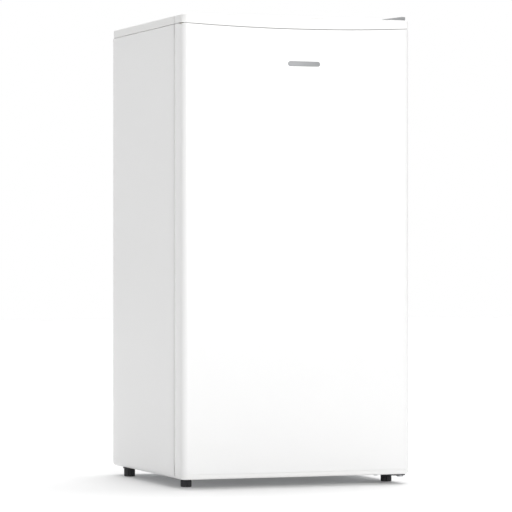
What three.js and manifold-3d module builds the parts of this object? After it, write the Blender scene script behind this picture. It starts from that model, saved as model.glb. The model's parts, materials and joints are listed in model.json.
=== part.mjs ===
// Compact free-standing refrigerator with one full-height door, hinged on the right.
// Millimetres, +Z up, front faces -Y, origin at the centre of the base on the floor.
import * as THREE from 'three';
import * as BufferGeometryUtils from 'three/addons/utils/BufferGeometryUtils.js';
import Module from 'manifold-3d';

const wasm = await Module();
wasm.setup();

// ---------- driving dimensions ----------
const W = 440;                 // cabinet and door width
const HW = W / 2;
const TOP = 848;               // top of the worktop and of the door
const FLOOR_GAP = 18;          // underside of door and cabinet above the floor
const DOOR_FRONT = -214;       // front face of the door
const DOOR_BACK = -171.7;      // rear face of the door's inner liner flange
const CAB_FRONT = -166;        // front plane of the cabinet's steel frame
const CAB_REAR = 200;          // rear edge of the side panels
const WORKTOP_T = 15;          // worktop thickness
const SHEET = 1;               // panel sheet thickness
const DOOR_R = 12;             // rounded vertical edges of the door
const ARC_SAG = 6.3;           // sag of the seam between top cap and door skin
const HINGE_X = 208;           // door pivot
const HINGE_Y = -194;
const PIN_R = 4;
const BORE_R = 4.3;
const INX = 185;               // inner half width of the food compartment
const IN_Z0 = 56;              // compartment floor
const IN_Z1 = 796;             // compartment ceiling
const IN_BACK = 145;           // compartment rear wall
const STEP_Y = 28;             // front of the step over the compressor bay
const STEP_Z = 252;            // top of that step
const BAY_Y = 58.3;            // front wall of the compressor bay
const BAY_Z = 221.7;           // ceiling of the compressor bay
const SHELVES = [258, 440, 612];   // undersides of the glass: crisper cover, middle, upper
const SPARE_LEDGES = [350, 526];   // other shelf positions
const DYKE_X = 172, DYKE_IX = 150; // raised ring on the door liner
const DYKE_Y = -147;
const COND_Y = 208.5;          // plane of the condenser tube
const COMP_X = 70, COMP_Y = 128;   // compressor axis

// ---------- materials ----------
const mat = (color, roughness, metalness, extra = {}) =>
  new THREE.MeshStandardMaterial({ color, roughness, metalness, ...extra });
const M = {
  whiteSteel: mat(0xf4f4f3, 0.3, 0.0),
  whitePlastic: mat(0xf1f1ef, 0.4, 0.0),
  linerPlastic: mat(0xf3f4f3, 0.35, 0.0),
  gasket: mat(0xe6e6e3, 0.6, 0.0),
  foam: mat(0xe3d7a8, 0.9, 0.0),
  zinc: mat(0xa9abac, 0.45, 1.0),
  darkSteel: mat(0x3b3d40, 0.5, 0.6),
  greyPlastic: mat(0x8d9092, 0.5, 0.0),
  blackPlastic: mat(0x222324, 0.5, 0.0),
  rubber: mat(0x1c1c1c, 0.9, 0.0),
  blackPaint: mat(0x17181a, 0.4, 0.5),
  copper: mat(0xb87333, 0.3, 1.0),
  aluminium: mat(0xc8cacc, 0.35, 1.0),
  glass: mat(0xdcebe6, 0.05, 0.0, { transparent: true, opacity: 0.35 }),
  clearPlastic: mat(0xe6eff3, 0.1, 0.0, { transparent: true, opacity: 0.45 }),
  diffuser: mat(0xf6f2e2, 0.5, 0.0),
};

// ---------- geometry helpers ----------
function manifold(geometry) {
  let g = geometry.clone();
  for (const name of ['normal', 'uv']) if (g.getAttribute(name)) g.deleteAttribute(name);
  g = BufferGeometryUtils.mergeVertices(g, 1e-4);
  return new wasm.Manifold(new wasm.Mesh({
    numProp: 3,
    vertProperties: new Float32Array(g.getAttribute('position').array),
    triVerts: new Uint32Array(g.getIndex().array),
  }));
}
function geometryOf(solid) {
  const m = solid.getMesh();
  const g = new THREE.BufferGeometry();
  g.setAttribute('position', new THREE.BufferAttribute(new Float32Array(m.vertProperties), 3));
  g.setIndex(new THREE.BufferAttribute(new Uint32Array(m.triVerts), 1));
  return g;
}
const join = (first, ...rest) => rest.reduce((a, b) => a.add(b), first);
const cut = (first, ...rest) => rest.reduce((a, b) => a.subtract(b), first);

const boxG = (x0, x1, y0, y1, z0, z1) =>
  new THREE.BoxGeometry(x1 - x0, y1 - y0, z1 - z0)
    .translate((x0 + x1) / 2, (y0 + y1) / 2, (z0 + z1) / 2);
const box = (...a) => manifold(boxG(...a));

// closed outline with rounded corners, radii in the order of the corners
function roundedPolygon(points, radii, segments = 4) {
  const out = [];
  const n = points.length;
  for (let i = 0; i < n; i++) {
    const p = new THREE.Vector2(...points[i]);
    const r = Array.isArray(radii) ? radii[i] : radii;
    if (!r) { out.push(p); continue; }
    const a = new THREE.Vector2(...points[(i + n - 1) % n]).sub(p).normalize();
    const b = new THREE.Vector2(...points[(i + 1) % n]).sub(p).normalize();
    const half = Math.acos(THREE.MathUtils.clamp(a.dot(b), -1, 1)) / 2;
    const t = r / Math.tan(half);
    const centre = a.clone().add(b).normalize().multiplyScalar(r / Math.sin(half)).add(p);
    const p0 = a.clone().multiplyScalar(t).add(p).sub(centre);
    const p1 = b.clone().multiplyScalar(t).add(p).sub(centre);
    const a0 = p0.angle();
    let d = p1.angle() - a0;
    while (d > Math.PI) d -= 2 * Math.PI;
    while (d < -Math.PI) d += 2 * Math.PI;
    for (let k = 0; k <= segments; k++) {
      const t2 = a0 + (d * k) / segments;
      out.push(new THREE.Vector2(centre.x + r * Math.cos(t2), centre.y + r * Math.sin(t2)));
    }
  }
  return out;
}
const rect = (x0, x1, y0, y1) => [[x0, y0], [x1, y0], [x1, y1], [x0, y1]];
function shapeOf(points) { return new THREE.Shape(points.map((p) => (p.isVector2 ? p : new THREE.Vector2(...p)))); }
function extrude(points, depth, holes = []) {
  const s = shapeOf(points);
  for (const h of holes) s.holes.push(new THREE.Path(h.map((p) => (p.isVector2 ? p : new THREE.Vector2(...p)))));
  return new THREE.ExtrudeGeometry(s, { depth, bevelEnabled: false, curveSegments: 6 });
}
// outline in XY, swept from z0 to z1
const alongZ = (points, z0, z1, holes) => extrude(points, z1 - z0, holes).translate(0, 0, z0);
// outline in XZ, swept from y0 to y1
const alongY = (points, y0, y1, holes) =>
  extrude(points, y1 - y0, holes).rotateX(Math.PI / 2).translate(0, y1, 0);
// outline in YZ, swept from x0 to x1
const alongX = (points, x0, x1, holes) =>
  extrude(points, x1 - x0, holes).rotateZ(Math.PI / 2).rotateY(Math.PI / 2).translate(x0, 0, 0);
const turned = (profile, segments = 16) =>
  new THREE.LatheGeometry(profile.map((p) => new THREE.Vector2(...p)), segments).rotateX(Math.PI / 2);
const rod = (r, z0, z1, x, y, segments = 12) =>
  turned([[0, z0], [r, z0], [r, z1], [0, z1]], segments).translate(x, y, 0);

// a path through given points, so that a swept tube has rings exactly there
class PointPath extends THREE.Curve {
  constructor(points) { super(); this.points = points; }
  getPoint(t) {
    const f = t * (this.points.length - 1);
    const i = Math.min(Math.floor(f), this.points.length - 2);
    return this.points[i].clone().lerp(this.points[i + 1], f - i);
  }
  getSpacedPoints() { return this.points.map((p) => p.clone()); }
  getTangentAt(u, target = new THREE.Vector3()) {
    const n = this.points.length;
    const i = Math.round(u * (n - 1));
    const a = this.points[Math.max(i - 1, 0)], b = this.points[i], c = this.points[Math.min(i + 1, n - 1)];
    const d = new THREE.Vector3();
    if (i > 0) d.add(b.clone().sub(a).normalize());
    if (i < n - 1) d.add(c.clone().sub(b).normalize());
    return target.copy(d.normalize());
  }
}
// corners of a polyline rounded by arcs of radius r
function bent(points, r, segments = 4) {
  const v = points.map((p) => new THREE.Vector3(...p));
  const out = [v[0]];
  for (let i = 1; i < v.length - 1; i++) {
    const a = v[i - 1].clone().sub(v[i]), b = v[i + 1].clone().sub(v[i]);
    const la = a.length(), lb = b.length();
    a.normalize(); b.normalize();
    const half = a.angleTo(b) / 2;
    const t = Math.min(r / Math.tan(half), la * 0.499, lb * 0.499);
    const rr = t * Math.tan(half);
    const centre = a.clone().add(b).normalize().multiplyScalar(rr / Math.sin(half)).add(v[i]);
    const p0 = v[i].clone().addScaledVector(a, t).sub(centre);
    const p1 = v[i].clone().addScaledVector(b, t).sub(centre);
    const sweep = p0.angleTo(p1);
    const axis = p0.clone().cross(p1).normalize();
    for (let k = 0; k <= segments; k++)
      out.push(p0.clone().applyAxisAngle(axis, (sweep * k) / segments).add(centre));
  }
  out.push(v[v.length - 1]);
  return out;
}
function tube(points, r, sides = 6) {
  const ring = [];
  for (let i = 0; i < sides; i++) ring.push([r * Math.cos((2 * Math.PI * i) / sides), r * Math.sin((2 * Math.PI * i) / sides)]);
  return new THREE.ExtrudeGeometry(shapeOf(ring), { steps: points.length - 1, bevelEnabled: false, extrudePath: new PointPath(points) });
}

const fridge = new THREE.Group();
fridge.name = 'compact_refrigerator';
function add(name, what, material, parent = fridge) {
  const g = what.isBufferGeometry ? what : geometryOf(what);
  const mesh = new THREE.Mesh(g, material);
  mesh.name = name;
  parent.add(mesh);
  return mesh;
}

const cabinet = new THREE.Group();
const door = new THREE.Group();
fridge.add(cabinet, door);

// ================= cabinet casing =================
// Side panels: pre-painted sheet, returned inward at the front as the face the magnets hold, and at the rear.
const panelLeft = [
  [-HW, CAB_FRONT], [-190, CAB_FRONT], [-190, CAB_FRONT + SHEET], [-HW + SHEET, CAB_FRONT + SHEET],
  [-HW + SHEET, CAB_REAR - SHEET], [-208, CAB_REAR - SHEET], [-208, CAB_REAR], [-HW, CAB_REAR],
];
add('side_panel_left', alongZ(panelLeft, FLOOR_GAP, 831), M.whiteSteel, cabinet);
add('side_panel_right', alongZ(panelLeft.map(([x, y]) => [-x, y]).reverse(), FLOOR_GAP, 831), M.whiteSteel, cabinet);
add('top_panel', join(
  box(-218.7, 218.7, -164.7, 186, 829.8, 831),
  box(-189.7, 189.7, CAB_FRONT, -164.6, 800, 831)), M.whiteSteel, cabinet);
const footHole = (x, y, r = 4.7) => manifold(rod(r, 0, 60, x, y, 12));
add('base_plate', cut(join(
  box(-218.7, 218.7, -164.7, 57.5, 18, 19.2),
  box(-189.7, 189.7, CAB_FRONT, -164.6, 18, 50)),
  footHole(-187, -138), footHole(204, -138)), M.zinc, cabinet);
add('back_panel', alongY(rect(-218.7, 218.7, 222.2, 829.4), 186.4, 187.4), M.zinc, cabinet);
const duct = (x, y, r, z0 = 200, z1 = 260, n = 8) => manifold(rod(r, z0, z1, x, y, n));
add('compressor_bay_panel', cut(
  manifold(alongX([[BAY_Y, 20], [BAY_Y + 1, 20], [BAY_Y + 1, BAY_Z - 1], [199, BAY_Z - 1], [199, BAY_Z], [BAY_Y, BAY_Z]], -218.6, 218.6)),
  duct(COMP_X, 120, 6.6), duct(150, 152, 4), duct(162, 152, 2.2)), M.zinc, cabinet);

// Polyurethane foam fills the wall space between casing and liner.
const foamOuter = box(-218.6, 218.6, -164.4, 186, 19.6, 829.4);
const foam = cut(foamOuter,
  manifold(alongY(roundedPolygon(rect(-187.3, 187.3, 249.7, 798.3), [0, 0, 10, 10], 3), -170, 147.3)),
  box(-187.3, 187.3, -170, 30.3, 53.7, 255),
  box(-225, 225, 58, 190, 10, 222),
  box(-165.4, 165.4, 140, 149.6, 420, 780),
  footHole(-187, -138, 6).intersect(box(-200, -170, -150, -120, 0, 36)),
  footHole(204, -138, 6).intersect(box(190, 215, -150, -120, 0, 36)),
  duct(COMP_X, 120, 6.5), duct(150, 152, 3.6, 200, 421), duct(162, 152, 1.9, 200, 421));
add('insulation_foam', foam, M.foam, cabinet);

// Vacuum-formed liner: a rim on the front face, shelf ledges, and a step over the compressor bay.
const linerOuter = join(
  manifold(alongY(roundedPolygon(rect(-187, 187, 250, 798), [0, 0, 10, 10], 3), -165.6, 147)),
  box(-187, 187, -165.6, 30, 54, 251),
  manifold(alongY(rect(-189.7, 189.7, 50.3, 799.7), CAB_FRONT, -164.7)));
const linerInner = join(
  manifold(alongY(roundedPolygon(rect(-INX, INX, STEP_Z, IN_Z1), [0, 0, 8, 8], 3), -180, IN_BACK)),
  box(-INX, INX, -180, STEP_Y, IN_Z0, STEP_Z + 1));
let liner = cut(linerOuter, linerInner);
for (const z of [...SHELVES, ...SPARE_LEDGES])
  for (const s of [-1, 1])
    liner = liner.add(box(Math.min(s * 177, s * 186), Math.max(s * 177, s * 186), -75, 146, z - 6, z - 0.3));
liner = cut(liner, duct(COMP_X, 120, 5.2, 240, 256));
add('inner_liner', liner, M.linerPlastic, cabinet);

// Worktop: moulded lid with softened top edges.
const worktopProfile = roundedPolygon(rect(-HW, HW, TOP - WORKTOP_T, TOP), [1, 1, 2.5, 2.5], 2);
// A shallow pocket in its front right corner takes the hinge bracket and its cover.
add('worktop', cut(manifold(alongY(worktopProfile, -166.5, CAB_REAR)), box(166, 222, -168, -114, TOP - 0.3, TOP + 4)), M.whitePlastic, cabinet);

// ================= compressor bay =================
const trayProfile = [[60, 18], [197, 18], [197, 32], [195.5, 32], [195.5, 19.5], [61.5, 19.5], [61.5, 32], [60, 32]];
let tray = manifold(alongX(trayProfile, -218.6, 218.6));
tray = cut(tray, manifold(new THREE.CylinderGeometry(4.2, 4.2, 20, 12).translate(-170, 196.25, 26.2)));
add('compressor_tray', tray, M.zinc, cabinet);
const gland = new THREE.LatheGeometry([[2.6, -5], [6.2, -5], [6.2, -1.1], [3.9, -1.1], [3.9, 1.1], [6.2, 1.1], [6.2, 3.6], [4.6, 5], [2.6, 5], [2.6, -5]]
  .map((p) => new THREE.Vector2(...p)), 12);
add('power_cable_gland', gland.translate(-170, 196.25, 26.2), M.blackPlastic, cabinet);

const pot = turned([[0, 37], [26, 37.5], [44, 45], [51, 60], [52, 96], [56, 97.5], [56, 102], [52, 103.5], [51, 130], [45, 150], [28, 161], [0, 164]], 24);
const footPlate = manifold(alongZ(roundedPolygon(rect(-86, 86, -48, 48), 12, 3), 33.3, 38.5));
const mountXY = [[-76, -38], [76, -38], [76, 38], [-76, 38]];
let compressor = join(manifold(pot), footPlate.subtract(manifold(alongZ(rect(-60, 60, -60, -40), 30, 40))).subtract(manifold(alongZ(rect(-60, 60, 40, 60), 30, 40))),
  manifold(tube([new THREE.Vector3(44, 0, 66), new THREE.Vector3(56, 0, 66)], 3.4, 8)),
  manifold(tube([new THREE.Vector3(44, 0, 120), new THREE.Vector3(56, 0, 120)], 4, 8)));
for (const [x, y] of mountXY) compressor = compressor.subtract(manifold(rod(3.4, 30, 42, x, y, 10)));
add('compressor', geometryOf(compressor).translate(COMP_X, COMP_Y, 0), M.blackPaint, cabinet);
mountXY.forEach(([x, y], i) => {
  const grommet = new THREE.LatheGeometry([[3.6, 19.8], [9, 19.8], [9, 24], [7.6, 26], [9, 28], [9, 33], [3.6, 33], [3.6, 19.8]]
    .map((p) => new THREE.Vector2(...p)), 12).rotateX(Math.PI / 2);
  add(`compressor_grommet_${i + 1}`, grommet.translate(COMP_X + x, COMP_Y + y, 0), M.rubber, cabinet);
});
add('terminal_box', alongZ(roundedPolygon(rect(COMP_X - 84, COMP_X - 56.5, COMP_Y - 24, COMP_Y + 24), 3, 2), 66, 124), M.blackPlastic, cabinet);
const panOuter = manifold(alongZ(roundedPolygon(rect(-70, 70, -46, 46), 12, 3), 170, 190));
const panInner = manifold(alongZ(roundedPolygon(rect(-68, 68, -44, 44), 10, 3), 172, 195));
add('drip_pan', geometryOf(panOuter.subtract(panInner)).translate(COMP_X, COMP_Y, 0), M.blackPlastic, cabinet);
const drain = new THREE.LatheGeometry([[4.6, 196], [6, 196], [6, 249.6], [4.6, 249.6], [4.6, 196]].map((p) => new THREE.Vector2(...p)), 12).rotateX(Math.PI / 2);
add('drain_tube', drain.translate(COMP_X, 120, 0), M.whitePlastic, cabinet);

// ================= refrigerant circuit =================
// Serpentine of steel tube with wires welded across its rear.
const runs = 13, pitch = 42, condZ0 = 256, condX = 178;
const serp = [[188, COND_Y, condZ0]];
for (let i = 0; i < runs; i++) {
  const z = condZ0 + i * pitch, s = i % 2 ? -1 : 1;
  if (i > 0) serp.push([s * condX, COND_Y, z]);
  serp.push([-s * condX, COND_Y, z]);
}
serp.splice(serp.length - 1, 1, [-188, COND_Y, condZ0 + (runs - 1) * pitch]);
let condenser = manifold(tube(bent(serp, pitch / 2 - 0.5, 5), 2.6, 6));
for (let i = 0; i < 5; i++) {
  const x = -144 + i * 72;
  condenser = condenser.add(box(x - 0.8, x + 0.8, 210.4, 212, condZ0 - 8, condZ0 + (runs - 1) * pitch + 8));
}
add('condenser', condenser, M.blackPaint, cabinet);
for (const [side, s] of [['left', -1], ['right', 1]]) {
  const x0 = s * 186, x1 = s * 192;
  add(`condenser_clip_${side}`, alongZ(roundedPolygon(rect(Math.min(x0, x1) - 3, Math.max(x0, x1) + 3, 187.7, 204.8), 1.5, 1), 486, 530), M.blackPlastic, cabinet);
}
add('discharge_tube', tube(bent([[COMP_X + 56.4, COMP_Y, 66], [160, COMP_Y, 66], [160, COND_Y, 66], [-204, COND_Y, 66], [-204, COND_Y, condZ0 + (runs - 1) * pitch], [-188.4, COND_Y, condZ0 + (runs - 1) * pitch]], 12, 4), 2.4, 6), M.copper, cabinet);
add('filter_drier', turned([[0, 144], [2.2, 144], [2.2, 152], [6.5, 158], [6.5, 222], [2.4, 228], [2.4, 240], [0, 240]], 12).translate(202, COND_Y, 0), M.copper, cabinet);
add('liquid_tube', tube(bent([[188.4, COND_Y, condZ0], [202, COND_Y, condZ0], [202, COND_Y, 240.4]], 10, 4), 2.4, 6), M.copper, cabinet);
const coil = [[202, COND_Y, 143.6], [202, COND_Y, 128], [190, 186, 118]];
for (let i = 0; i <= 24; i++) {
  const a = (Math.PI * 2 * i) / 12 + Math.PI / 3;
  coil.push([176 + 14 * Math.cos(a), 168 + 14 * Math.sin(a), 112 + i * 0.7]);
}
coil.push([162, 160, 140], [162, 152, 156], [162, 152, 418]);
add('capillary_tube', tube(coil.map((p) => new THREE.Vector3(...p)), 1.1, 5), M.copper, cabinet);
add('suction_tube', tube(bent([[COMP_X + 56.4, COMP_Y, 120], [150, COMP_Y, 120], [150, 152, 120], [150, 152, 418]], 9, 4), 3, 6), M.copper, cabinet);
add('evaporator_plate', alongY(rect(-165, 165, 420.6, 779), 147.6, 149.2), M.aluminium, cabinet);

// ================= interior fittings =================
const shelfNames = ['crisper_cover', 'shelf_middle', 'shelf_upper'];
SHELVES.forEach((z, i) => {
  add(`${shelfNames[i]}_glass`, box(-183, 183, -77, 140, z, z + 4), M.glass, cabinet);
  add(`${shelfNames[i]}_trim`, alongX(roundedPolygon([[-86, z - 3], [-77.3, z - 3], [-77.3, z + 6], [-86, z + 6]], [2, 0.5, 0.5, 2], 2), -183, 183), M.whitePlastic, cabinet);
});
let housing = manifold(alongX(roundedPolygon(rect(-30, 96, 690, 772), 8, 3), 160, 184.6));
housing = housing.subtract(manifold(alongX(roundedPolygon(rect(22, 88, 700, 762), 5, 3), 150, 180)));
add('thermostat_housing', housing, M.whitePlastic, cabinet);
add('lamp_bulb', new THREE.LatheGeometry([[0, 28], [5, 28], [5, 40], [8.5, 52], [7, 64], [3.5, 70], [0, 71]].map((p) => new THREE.Vector2(...p)), 12).translate(171, 0, 731), M.diffuser, cabinet);
const coverO = manifold(alongX(roundedPolygon(rect(20, 90, 698, 764), 6, 3), 153, 159.7));
const coverI = manifold(alongX(roundedPolygon(rect(22, 88, 700, 762), 5, 3), 154.6, 170));
add('lamp_cover', coverO.subtract(coverI), M.diffuser, cabinet);
const knobBody = manifold(turned([[0, 0], [15, 0], [16, 1], [15.2, 9], [14, 10], [0, 10]], 20));
const knobGrip = manifold(alongZ(roundedPolygon(rect(-2.6, 2.6, -13, 13), 2, 2), 8, 15));
add('thermostat_knob', geometryOf(knobBody.add(knobGrip)).rotateY(-Math.PI / 2).translate(159.6, -4, 731), M.whitePlastic, fridge);

// Crisper drawer: open-topped bin with a pull lip along its front.
const dz0 = 57, dz1 = 244;
let drawer = manifold(alongZ(roundedPolygon(rect(-174, 174, -88, 21), [8, 8, 4, 4], 3), dz0, dz1));
drawer = drawer.subtract(manifold(alongZ(roundedPolygon(rect(-171.6, 171.6, -85.6, 18.6), [6, 6, 3, 3], 3), dz0 + 2.4, dz1 + 5)));
drawer = drawer.add(manifold(alongX(roundedPolygon(rect(-95, -86, 226, 234), [3, 1, 1, 3], 2), -70, 70)));
add('crisper_drawer', drawer, M.clearPlastic, fridge);

// ================= door =================
// plan outline of the door: square at the back, rounded vertical front edges
const doorPlan = (inset, back, r) =>
  roundedPolygon([[-HW + inset, DOOR_FRONT + inset], [HW - inset, DOOR_FRONT + inset], [HW - inset, back], [-HW + inset, back]],
    [r, r, 0, 0], 5);
// region above the arched seam, raised by dz
function aboveArc(dz) {
  const p = [];
  const n = 16;
  for (let i = 0; i <= n; i++) {
    const x = -230 + (460 * i) / n;
    p.push([x, TOP - WORKTOP_T - ARC_SAG * (1 - (x / HW) ** 2) + dz]);
  }
  p.push([230, 900], [-230, 900]);
  return manifold(alongY(p, -230, -150));
}
const skinOuter = manifold(alongZ(doorPlan(0, -174, DOOR_R), 27.2, 840));
const skinInner = manifold(alongZ(doorPlan(SHEET, -175, DOOR_R - SHEET), 20, 850));
const skinMouth = box(-208, 208, -178, -170, 20, 850);
add('door_skin', cut(skinOuter, skinInner, skinMouth, aboveArc(-1.2)), M.whiteSteel, door);
add('door_foam', cut(manifold(alongZ(doorPlan(SHEET + 0.3, -175.3, DOOR_R - SHEET - 0.3), 27.5, 840)), aboveArc(-1.5)), M.foam, door);
const bore = (z0, z1) => manifold(rod(BORE_R, z0, z1, HINGE_X, HINGE_Y, 16));
let cap = manifold(alongZ(doorPlan(0, -172, DOOR_R), 820, TOP)).intersect(aboveArc(0));
cap = cut(cap, bore(836, 860),
  manifold(alongZ(roundedPolygon(rect(-80, 80, -201, -178), 6, 3), 834, 860)));
add('door_top_cap', cap, M.whitePlastic, door);
add('door_bottom_cap', cut(manifold(alongZ(doorPlan(0, -172, DOOR_R), FLOOR_GAP, 26.6)), bore(0, 25)), M.whitePlastic, door);

// Door liner: flat flange with a raised ring that fits inside the cabinet opening.
const ringO = manifold(alongY(roundedPolygon(rect(-DYKE_X, DYKE_X, 66, 788), 14, 3), -173, DYKE_Y));
const ringI = manifold(alongY(roundedPolygon(rect(-DYKE_IX, DYKE_IX, 88, 766), 8, 3), DOOR_BACK, -140));
add('door_liner', cut(join(box(-219.3, 219.3, -173.7, DOOR_BACK, 28, 826), ringO), ringI), M.linerPlastic, door);
const gasketO = roundedPolygon(rect(-219.3, 206, 30, 820), 4, 2);
const gasketI = roundedPolygon(rect(-190.5, 190.5, 45.5, 804.5), 2, 2);
add('door_gasket', alongY(gasketO, -171.4, -166.3, [gasketI]), M.gasket, door);

// Door shelves hang inside the ring.
function doorShelf(z0, z1, depth, tall) {
  const o = manifold(alongZ(roundedPolygon(rect(-149.6, 149.6, -171.4, -171.4 + depth), [0, 0, 14, 14], 4), z0, z1));
  const i = manifold(alongZ(roundedPolygon(rect(-147.4, 147.4, -169.2, -173.6 + depth), [0, 0, 12, 12], 4), z0 + 2.2, z1 + 5));
  let s = o.subtract(i);
  if (tall) s = s.subtract(box(-160, 160, -180, -171.4 + depth - 16, z1 - tall, z1 + 5));
  return s;
}
add('door_shelf_bottom', doorShelf(98, 180, 75, 0), M.clearPlastic, door);
add('door_shelf_middle', doorShelf(372, 434, 60, 0), M.clearPlastic, door);
add('door_shelf_top', doorShelf(610, 664, 60, 0), M.clearPlastic, door);

// Plain badge on the door, with no mark on it.
add('badge_plate', alongY(roundedPolygon(rect(-19, 43, 759, 768), 4.4, 4), -215, -214.3), M.aluminium, door);

// ================= hinges =================
add('top_hinge_bracket', cut(manifold(alongZ(roundedPolygon(rect(190, 212.4, -200.5, -124), [4, 4, 4, 4], 3), 848.3, 850.5)),
  manifold(rod(BORE_R, 840, 860, HINGE_X, HINGE_Y, 16))), M.darkSteel, cabinet);
add('top_hinge_pin', rod(PIN_R, 837, 852, HINGE_X, HINGE_Y, 16), M.zinc, cabinet);
const coverOuter = manifold(alongY(roundedPolygon([[172, 848.3], [214.3, 848.3], [214.3, 855], [207, 855], [172, 849.6]], [0, 0, 1.6, 2, 0.4], 2), -206, -118));
const coverInner = manifold(alongY([[189, 840], [212.9, 840], [212.9, 853.6], [207.4, 853.6], [189, 850.9]], -204.6, -119.4));
add('top_hinge_cover', coverOuter.subtract(coverInner), M.greyPlastic, cabinet);
add('bottom_hinge_bracket', cut(manifold(alongZ(roundedPolygon([[168, -160], [190, -204], [216, -204], [216, -112], [168, -112]], [6, 6, 5, 4, 4], 3), 15.2, 17.7)),
  manifold(rod(BORE_R, 0, 30, HINGE_X, HINGE_Y, 16)), footHole(204, -138)), M.darkSteel, cabinet);
add('bottom_hinge_pin', turned([[0, 12.6], [6.5, 12.6], [6.5, 14.9], [PIN_R, 14.9], [PIN_R, 24.6], [0, 24.6]], 16).translate(HINGE_X, HINGE_Y, 0), M.zinc, cabinet);
for (const [name, x, y] of [['front', 178, -150], ['rear', 178, -122]])
  add(`bottom_hinge_screw_${name}`, turned([[0, 12.2], [3.4, 12.2], [4.4, 13.2], [4.4, 14.9], [0, 14.9]], 10).translate(x, y, 0), M.zinc, cabinet);

// ================= feet =================
const levelling = () => turned([[0, 0], [9.2, 0], [10.2, 1.4], [10.2, 11.4], [8.6, 13], [4, 13], [4, 33], [0, 33]], 16);
add('front_foot_left', levelling().translate(-187, -138, 0), M.blackPlastic, fridge);
add('front_foot_right', levelling().translate(204, -138, 0), M.blackPlastic, fridge);
const fixed = () => turned([[0, 0], [9.6, 0], [10.6, 1.4], [10.6, 15], [12.5, 16.2], [12.5, 17.7], [0, 17.7]], 16);
add('rear_foot_left', fixed().translate(-204, 145, 0), M.blackPlastic, cabinet);
add('rear_foot_right', fixed().translate(204, 145, 0), M.blackPlastic, cabinet);

export default fridge;
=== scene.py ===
import json
import math

import bmesh
import bpy
from mathutils import Matrix, Vector


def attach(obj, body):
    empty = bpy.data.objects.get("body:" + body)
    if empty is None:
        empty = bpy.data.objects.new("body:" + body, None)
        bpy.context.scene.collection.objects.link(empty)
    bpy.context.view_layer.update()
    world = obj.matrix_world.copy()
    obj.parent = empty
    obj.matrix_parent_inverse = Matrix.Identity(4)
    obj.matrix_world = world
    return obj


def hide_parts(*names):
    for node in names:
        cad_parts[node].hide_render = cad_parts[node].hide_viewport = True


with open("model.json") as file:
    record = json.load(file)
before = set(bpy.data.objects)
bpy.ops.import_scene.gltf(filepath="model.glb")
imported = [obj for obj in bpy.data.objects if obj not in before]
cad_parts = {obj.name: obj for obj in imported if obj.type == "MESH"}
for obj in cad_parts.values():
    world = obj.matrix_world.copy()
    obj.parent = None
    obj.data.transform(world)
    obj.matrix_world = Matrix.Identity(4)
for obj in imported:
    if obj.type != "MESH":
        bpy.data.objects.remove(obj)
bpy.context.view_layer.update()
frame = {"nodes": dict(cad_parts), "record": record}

NODES = frame["nodes"]
MM = 0.001

# ------------------------------------------------------------------ dimensions (mm), as in the frame
HW, TOP, GAP = 220.0, 848.0, 18.0
DOOR_FRONT, DOOR_BACK, CAB_FRONT, CAB_REAR = -214.0, -171.7, -166.0, 200.0
WORKTOP_Z, ARC_SAG, DOOR_R = 833.0, 6.3, 12.0
HINGE_X, HINGE_Y = 208.0, -194.0
INX, IN_Z0, IN_Z1, IN_BACK, STEP_Y, STEP_Z = 185.0, 56.0, 796.0, 145.0, 28.0, 252.0
SHELVES = {"crisper_cover": 258.0, "shelf_middle": 440.0, "shelf_upper": 612.0}
LEDGES = [258.0, 350.0, 440.0, 526.0, 612.0]
COND_Y, COND_Z0, RUNS, PITCH, COND_X = 208.5, 256.0, 13, 42.0, 178.0
COMP_X, COMP_Y = 70.0, 128.0


def arc_z(x):
    return WORKTOP_Z - ARC_SAG * (1 - min(1.0, abs(x) / HW) ** 2)


# ------------------------------------------------------------------ materials
def new_mat(name):
    m = bpy.data.materials.new(name)
    m.use_nodes = True
    nt = m.node_tree
    b = nt.nodes["Principled BSDF"]
    return m, nt, b


def coords(nt, scale=(1, 1, 1)):
    tc = nt.nodes.new("ShaderNodeTexCoord")
    mp = nt.nodes.new("ShaderNodeMapping")
    mp.inputs["Scale"].default_value = scale
    nt.links.new(tc.outputs["Object"], mp.inputs["Vector"])
    return mp.outputs["Vector"]


def noise(nt, vec, scale, detail=3.0, rough=0.5):
    n = nt.nodes.new("ShaderNodeTexNoise")
    n.inputs["Scale"].default_value = scale
    n.inputs["Detail"].default_value = detail
    n.inputs["Roughness"].default_value = rough
    nt.links.new(vec, n.inputs["Vector"])
    return n.outputs["Fac"]


def ramp(nt, fac, lo, hi, a=0.3, b=0.7):
    r = nt.nodes.new("ShaderNodeMapRange")
    r.inputs["From Min"].default_value = a
    r.inputs["From Max"].default_value = b
    r.inputs["To Min"].default_value = lo
    r.inputs["To Max"].default_value = hi
    nt.links.new(fac, r.inputs["Value"])
    return r.outputs["Result"]


def two_tone(nt, fac, c0, c1):
    m = nt.nodes.new("ShaderNodeMix")
    m.data_type = "RGBA"
    nt.links.new(fac, m.inputs["Factor"])
    m.inputs["A"].default_value = (*c0, 1)
    m.inputs["B"].default_value = (*c1, 1)
    return m.outputs["Result"]


def bump(nt, b, fac, strength, distance, chain=None):
    n = nt.nodes.new("ShaderNodeBump")
    n.inputs["Strength"].default_value = strength
    n.inputs["Distance"].default_value = distance
    nt.links.new(fac, n.inputs["Height"])
    if chain is not None:
        nt.links.new(chain, n.inputs["Normal"])
    nt.links.new(n.outputs["Normal"], b.inputs["Normal"])
    return n.outputs["Normal"]


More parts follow.
